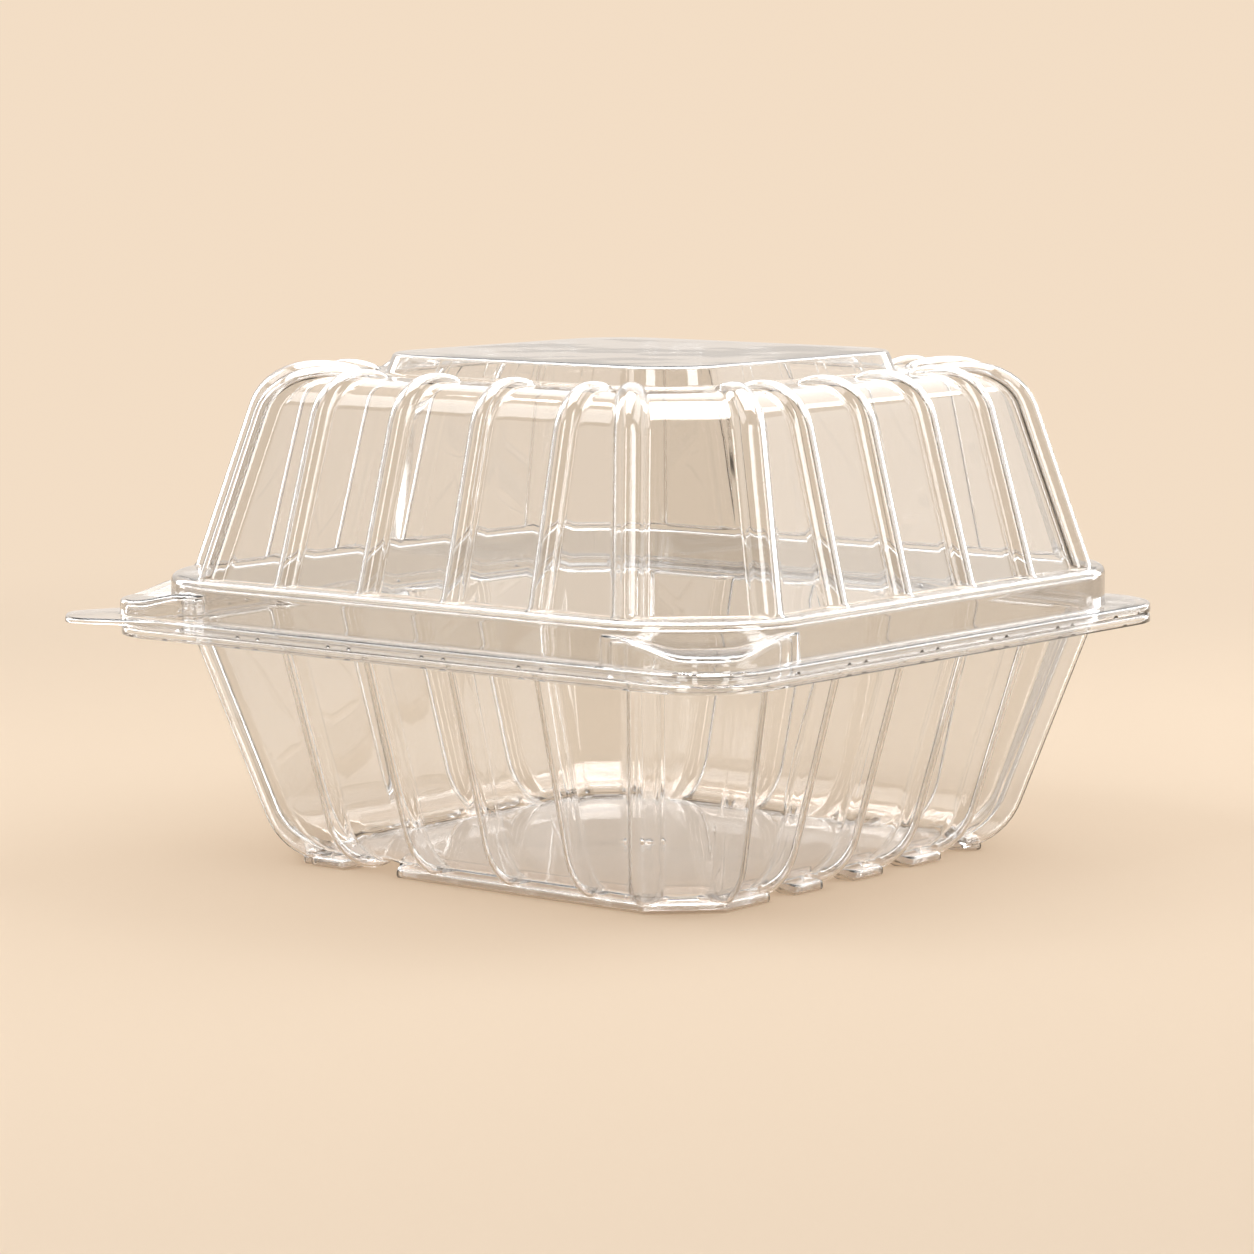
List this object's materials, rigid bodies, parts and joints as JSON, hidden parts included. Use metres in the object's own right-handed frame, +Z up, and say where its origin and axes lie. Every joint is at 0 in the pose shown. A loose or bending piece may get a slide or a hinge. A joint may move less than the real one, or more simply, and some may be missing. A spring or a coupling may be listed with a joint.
{
  "type": "clear hinged clamshell food container",
  "caption": "Clear plastic clamshell pack: ribbed tapered tub and ribbed domed lid with a raised flat top, nested rims with corner snap blocks, a pull tab and a folded hinge web.",
  "frame": {"origin": "centre of the foot plane, on the flat end of the dimple in the middle of the floor", "axes": "+Z up, -Y the front where the pack opens, +Y the hinge web at the back, +X to the right seen from the front"},
  "size_m": [0.1545, 0.1589, 0.0959],
  "materials": {
    "clear_plastic": "clear glossy thermoformed sheet"
  },
  "bodies": {
    "base": {"base_tub": "clear_plastic", "living_hinge": "clear_plastic"},
    "cover": {"lid": "clear_plastic"}
  },
  "joints": [
    {"name": "lid_hinge", "type": "hinge", "parent": "base", "child": "cover", "pos_m": [0, 0.0785, 0.0456], "axis": [-1, 0, 0], "range_deg": [0, 170], "deforming": ["living_hinge"]}
  ]
}
